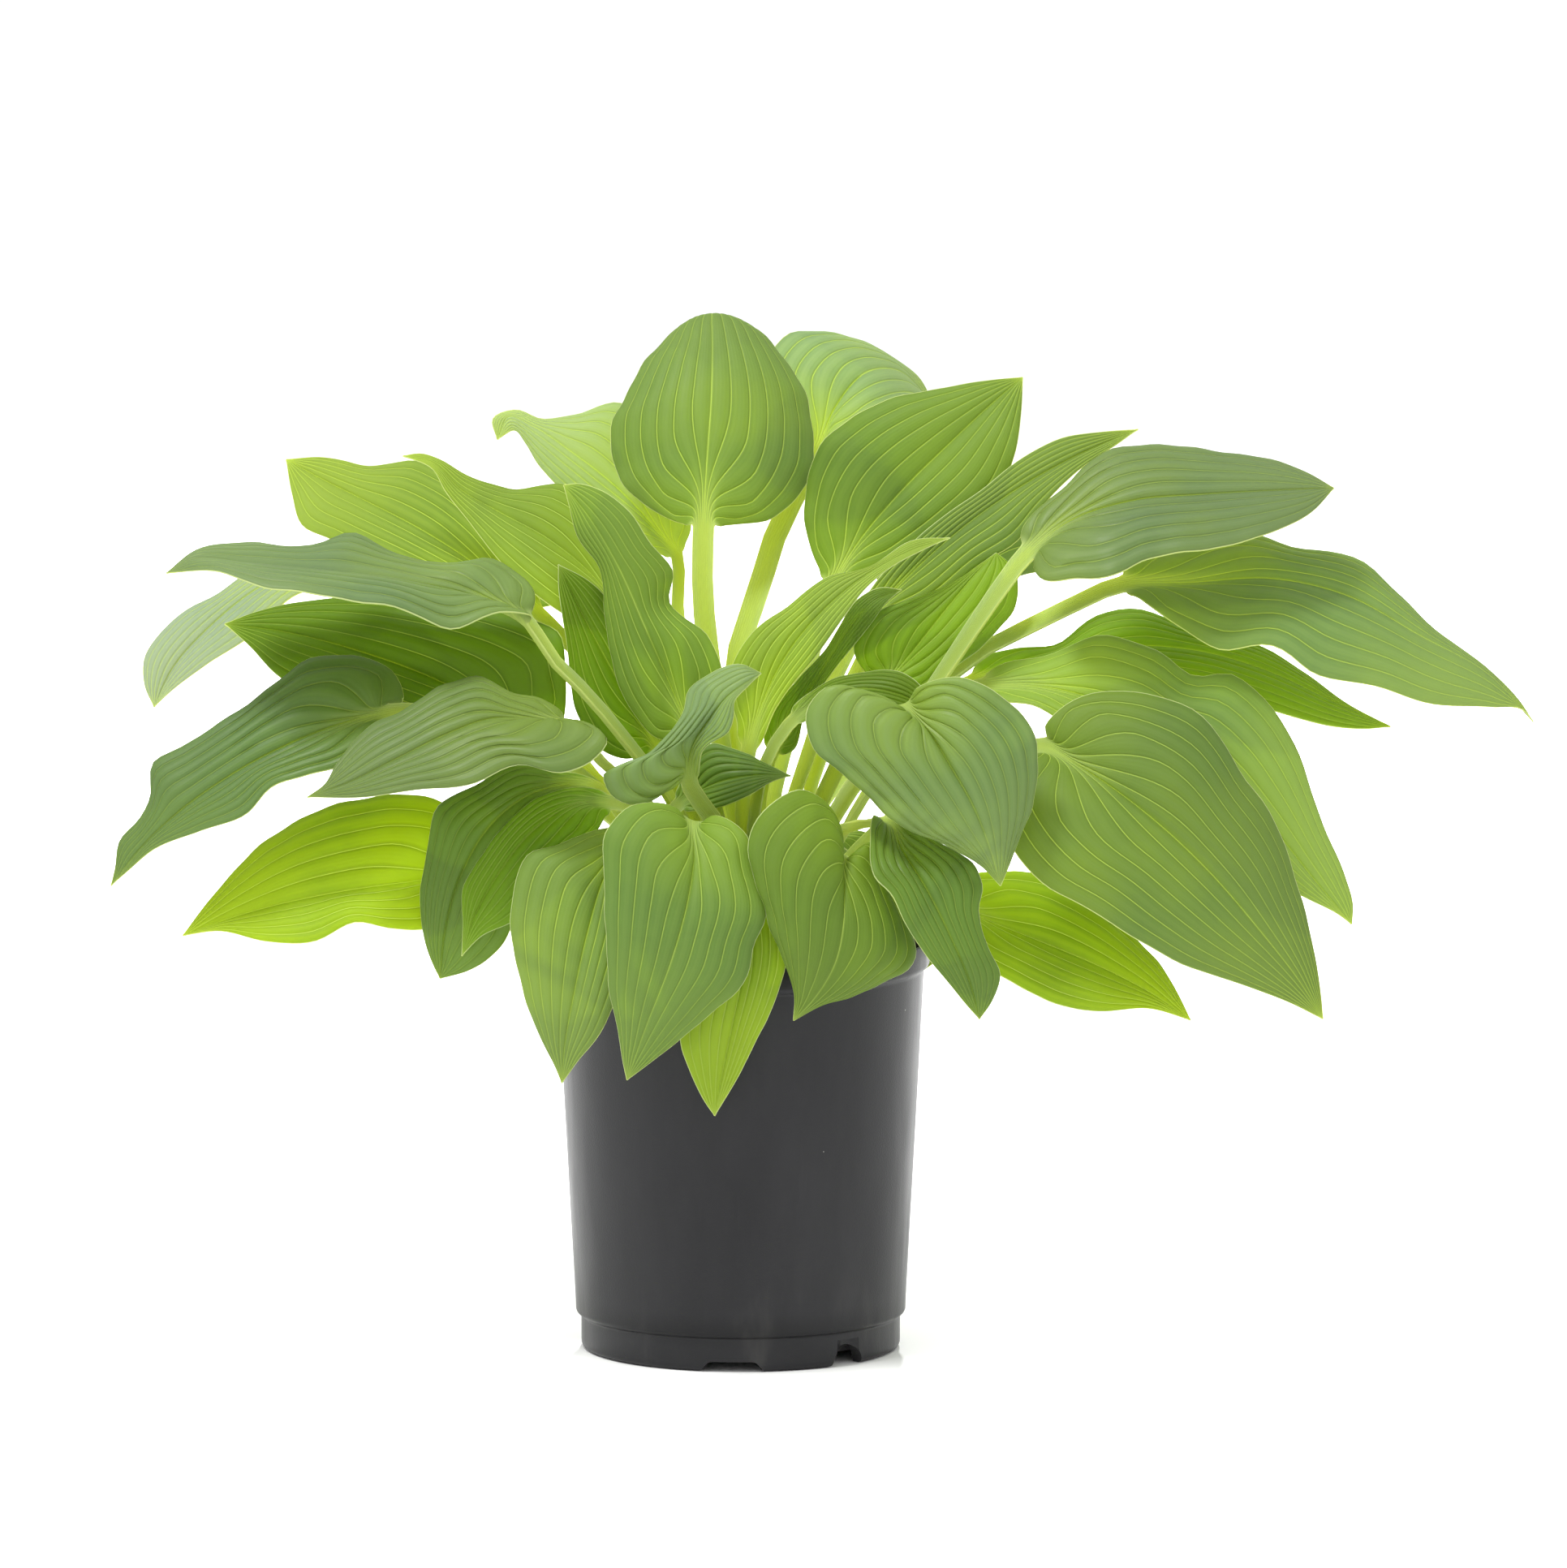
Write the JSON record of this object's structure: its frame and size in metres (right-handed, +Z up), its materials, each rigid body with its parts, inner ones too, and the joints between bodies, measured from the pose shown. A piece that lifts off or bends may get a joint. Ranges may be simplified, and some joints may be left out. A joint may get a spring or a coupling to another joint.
{
  "type": "potted hosta plant",
  "caption": "Full clump of ribbed, pointed hosta leaves on arching channelled stalks, growing in a plain round nursery pot of dark plastic filled with bark compost.",
  "frame": {"origin": "on the pot's axis, at the level that the pot stands on", "axes": "+Z up along the pot's axis, -Y towards the viewer of the picture, +X to that viewer's right"},
  "size_m": [0.6193, 0.2769, 0.4445],
  "materials": {
    "pot": "satin",
    "soil": "matte",
    "leaf_mid": "satin",
    "leaf_grey": "satin",
    "leaf_pale": "satin",
    "leaf_bright": "satin",
    "leaf_deep": "satin",
    "leaf_light": "satin",
    "leaf_dark": "satin"
  },
  "bodies": {
    "root": {"pot": "pot", "soil": "soil", "leaf_01": "leaf_mid", "leaf_02": "leaf_light", "leaf_03": "leaf_mid", "leaf_04": "leaf_pale", "leaf_05": "leaf_bright", "leaf_06": "leaf_bright", "leaf_07": "leaf_mid", "leaf_08": "leaf_grey", "leaf_09": "leaf_pale", "leaf_10": "leaf_deep", "leaf_11": "leaf_dark", "leaf_12": "leaf_grey", "leaf_13": "leaf_bright", "leaf_14": "leaf_dark", "leaf_15": "leaf_deep", "leaf_16": "leaf_light", "leaf_17": "leaf_mid", "leaf_18": "leaf_bright", "leaf_19": "leaf_mid", "leaf_20": "leaf_dark", "leaf_21": "leaf_grey", "leaf_22": "leaf_bright", "leaf_23": "leaf_mid", "leaf_24": "leaf_light", "leaf_25": "leaf_deep", "leaf_26": "leaf_mid", "leaf_27": "leaf_grey", "leaf_28": "leaf_mid", "leaf_29": "leaf_mid", "leaf_30": "leaf_mid", "leaf_31": "leaf_bright", "leaf_32": "leaf_dark", "leaf_33": "leaf_deep", "leaf_34": "leaf_mid", "leaf_35": "leaf_dark", "leaf_36": "leaf_grey", "leaf_37": "leaf_dark", "leaf_38": "leaf_deep", "leaf_39": "leaf_mid", "leaf_40": "leaf_mid", "leaf_41": "leaf_mid", "leaf_42": "leaf_mid", "leaf_43": "leaf_mid", "leaf_44": "leaf_mid"}
  },
  "joints": []
}
